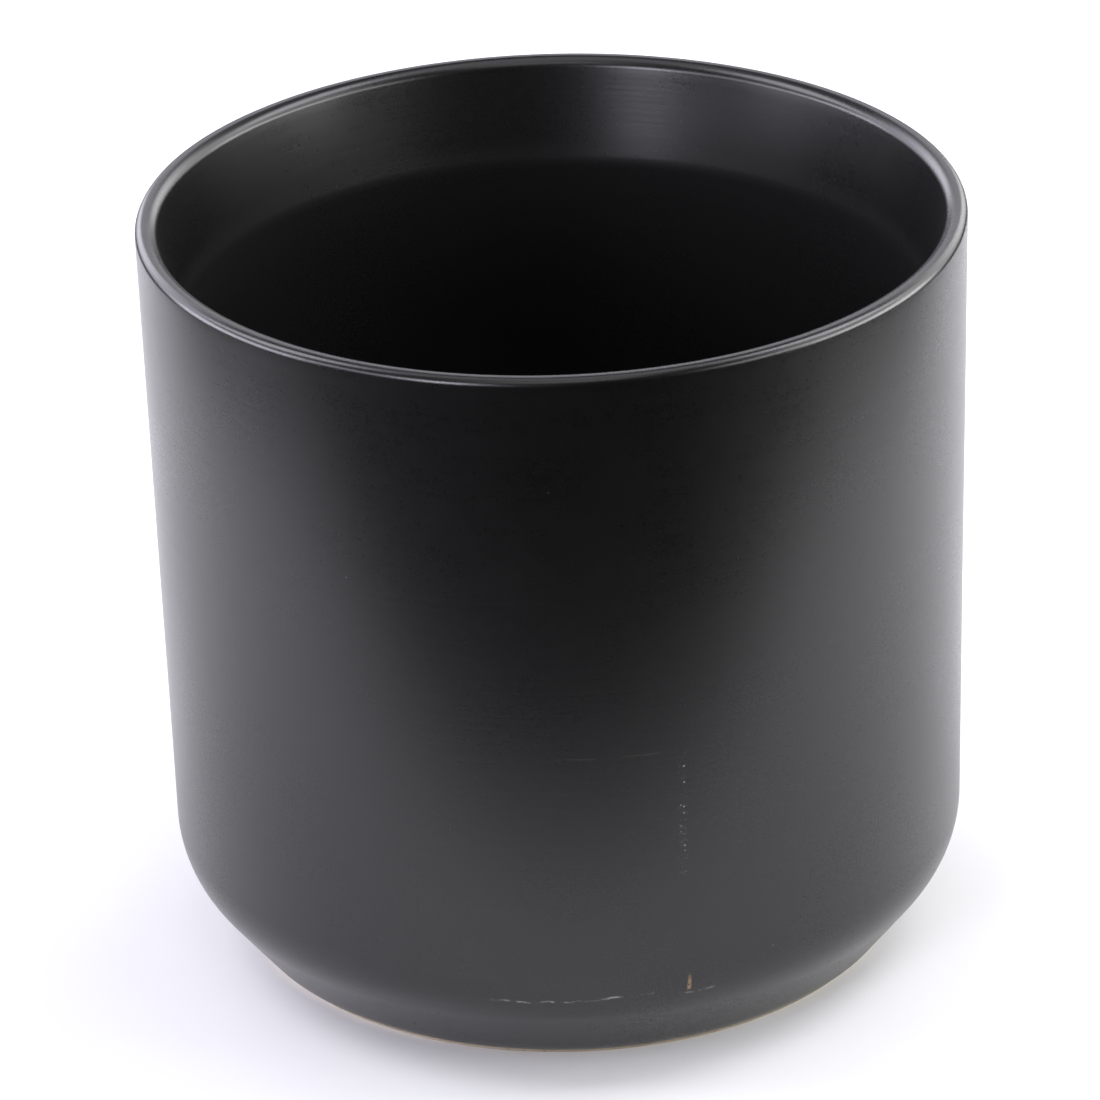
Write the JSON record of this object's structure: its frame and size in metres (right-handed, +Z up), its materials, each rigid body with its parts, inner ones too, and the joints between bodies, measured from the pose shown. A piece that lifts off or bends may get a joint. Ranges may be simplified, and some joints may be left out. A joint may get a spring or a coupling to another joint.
{
  "type": "ceramic candle jar",
  "caption": "Open round ceramic jar in satin black glaze, with a lip that flares inside, a rounded shoulder, a sloping foot and a bare clay standing ring, for a poured candle.",
  "frame": {"origin": "centre of the standing ring's resting face", "axes": "+Z up along the jar's axis towards the mouth; the jar is round, so X and Y are any two level directions"},
  "size_m": [0.14, 0.14, 0.1313],
  "materials": {
    "fired_clay": "bare buff fired clay, fine grain, matte",
    "satin_black_glaze": "satin black, very fine turning lines, a few pale scuffs",
    "liner_black_glaze": "satin black liner, plain",
    "base_black_glaze": "satin black, slightly uneven"
  },
  "bodies": {
    "root": {"stoneware_body": "fired_clay", "outer_glaze": "satin_black_glaze", "liner_glaze": "liner_black_glaze", "base_glaze": "base_black_glaze"}
  },
  "joints": []
}
